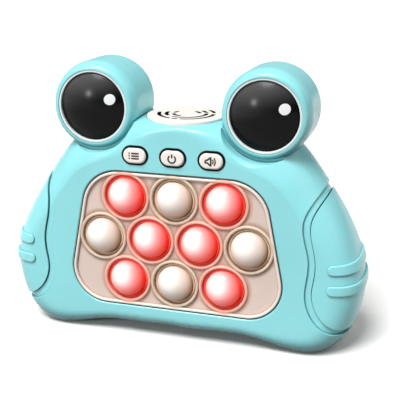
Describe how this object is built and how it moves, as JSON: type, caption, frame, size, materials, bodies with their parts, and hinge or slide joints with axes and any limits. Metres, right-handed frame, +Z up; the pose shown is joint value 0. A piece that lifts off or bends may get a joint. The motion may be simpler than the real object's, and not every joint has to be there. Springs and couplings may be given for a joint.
{
  "type": "bubble popping game toy",
  "caption": "Frog-shaped hand-held light and sound game: a honeycomb panel of press-in bubble domes, push buttons, grooved side grips, drum eyes and a speaker on top.",
  "frame": {"origin": "on the ground, under the middle of the toy's bounding box", "axes": "+X to the viewer's right as one faces the toy, +Y from the face to the back, +Z up"},
  "size_m": [0.162, 0.0432, 0.1222],
  "materials": {
    "aqua_shell": "satin, fine moulded grain",
    "aqua_grip": "soft satin",
    "cream_plastic": "satin",
    "eye_black": "polished",
    "eye_white": "gloss",
    "mat_rubber": "soft, matt",
    "bubble_plain": "translucent, soft sheen",
    "bubble_lit": "translucent, lit red from behind",
    "inner_plastic": "plain moulded",
    "board": "solder mask",
    "lamp": "clear lens",
    "switch": "plain",
    "speaker_black": "black coat",
    "cell_wrap": "plain wrapper",
    "steel": "zinc plated"
  },
  "bodies": {
    "toy": {"battery_1": "cell_wrap", "battery_2": "cell_wrap", "battery_3": "cell_wrap", "battery_plates": "steel", "battery_springs": "steel", "board_screws": "steel", "bubble_mat": "mat_rubber", "button_switches": "switch", "case_screws": "steel", "circuit_board": "board", "front_shell": "aqua_shell", "leds": "lamp", "left_eye_dome": "eye_black", "left_eye_ring": "eye_white", "left_grip": "aqua_grip", "rear_shell": "aqua_shell", "right_eye_dome": "eye_black", "right_eye_ring": "eye_white", "right_grip": "aqua_grip", "speaker_clamp": "inner_plastic", "speaker_cloth": "speaker_black", "speaker_driver": "speaker_black", "speaker_grille": "cream_plastic", "support_plate": "inner_plastic"},
    "bubble_01": {"bubble_01": "bubble_lit"},
    "bubble_02": {"bubble_02": "bubble_plain"},
    "bubble_03": {"bubble_03": "bubble_lit"},
    "bubble_04": {"bubble_04": "bubble_plain"},
    "bubble_05": {"bubble_05": "bubble_lit"},
    "bubble_06": {"bubble_06": "bubble_lit"},
    "bubble_07": {"bubble_07": "bubble_plain"},
    "bubble_08": {"bubble_08": "bubble_lit"},
    "bubble_09": {"bubble_09": "bubble_plain"},
    "bubble_10": {"bubble_10": "bubble_lit"},
    "menu_button": {"menu_button": "cream_plastic"},
    "power_button": {"power_button": "cream_plastic"},
    "volume_button": {"volume_button": "cream_plastic"},
    "battery_door": {"battery_door": "aqua_shell", "battery_door_screw": "steel"}
  },
  "joints": [
    {"name": "bubble_01_press", "type": "slide", "parent": "toy", "child": "bubble_01", "axis": [0, 1, 0], "range_m": [0, 0.003], "stiffness_N_per_m": 400, "springref_m": -0.001},
    {"name": "bubble_02_press", "type": "slide", "parent": "toy", "child": "bubble_02", "axis": [0, 1, 0], "range_m": [0, 0.003], "stiffness_N_per_m": 400, "springref_m": -0.001},
    {"name": "bubble_03_press", "type": "slide", "parent": "toy", "child": "bubble_03", "axis": [0, 1, 0], "range_m": [0, 0.003], "stiffness_N_per_m": 400, "springref_m": -0.001},
    {"name": "bubble_04_press", "type": "slide", "parent": "toy", "child": "bubble_04", "axis": [0, 1, 0], "range_m": [0, 0.003], "stiffness_N_per_m": 400, "springref_m": -0.001},
    {"name": "bubble_05_press", "type": "slide", "parent": "toy", "child": "bubble_05", "axis": [0, 1, 0], "range_m": [0, 0.003], "stiffness_N_per_m": 400, "springref_m": -0.001},
    {"name": "bubble_06_press", "type": "slide", "parent": "toy", "child": "bubble_06", "axis": [0, 1, 0], "range_m": [0, 0.003], "stiffness_N_per_m": 400, "springref_m": -0.001},
    {"name": "bubble_07_press", "type": "slide", "parent": "toy", "child": "bubble_07", "axis": [0, 1, 0], "range_m": [0, 0.003], "stiffness_N_per_m": 400, "springref_m": -0.001},
    {"name": "bubble_08_press", "type": "slide", "parent": "toy", "child": "bubble_08", "axis": [0, 1, 0], "range_m": [0, 0.003], "stiffness_N_per_m": 400, "springref_m": -0.001},
    {"name": "bubble_09_press", "type": "slide", "parent": "toy", "child": "bubble_09", "axis": [0, 1, 0], "range_m": [0, 0.003], "stiffness_N_per_m": 400, "springref_m": -0.001},
    {"name": "bubble_10_press", "type": "slide", "parent": "toy", "child": "bubble_10", "axis": [0, 1, 0], "range_m": [0, 0.003], "stiffness_N_per_m": 400, "springref_m": -0.001},
    {"name": "menu_button_press", "type": "slide", "parent": "toy", "child": "menu_button", "axis": [0, 1, 0], "range_m": [0, 0.0008], "stiffness_N_per_m": 1200, "springref_m": -0.0004},
    {"name": "power_button_press", "type": "slide", "parent": "toy", "child": "power_button", "axis": [0, 1, 0], "range_m": [0, 0.0008], "stiffness_N_per_m": 1200, "springref_m": -0.0004},
    {"name": "volume_button_press", "type": "slide", "parent": "toy", "child": "volume_button", "axis": [0, 1, 0], "range_m": [0, 0.0008], "stiffness_N_per_m": 1200, "springref_m": -0.0004},
    {"name": "battery_door_hinge", "type": "hinge", "parent": "toy", "child": "battery_door", "pos_m": [0, 0.02165, 0.07175], "axis": [1, 0, 0], "range_deg": [0, 35]}
  ]
}
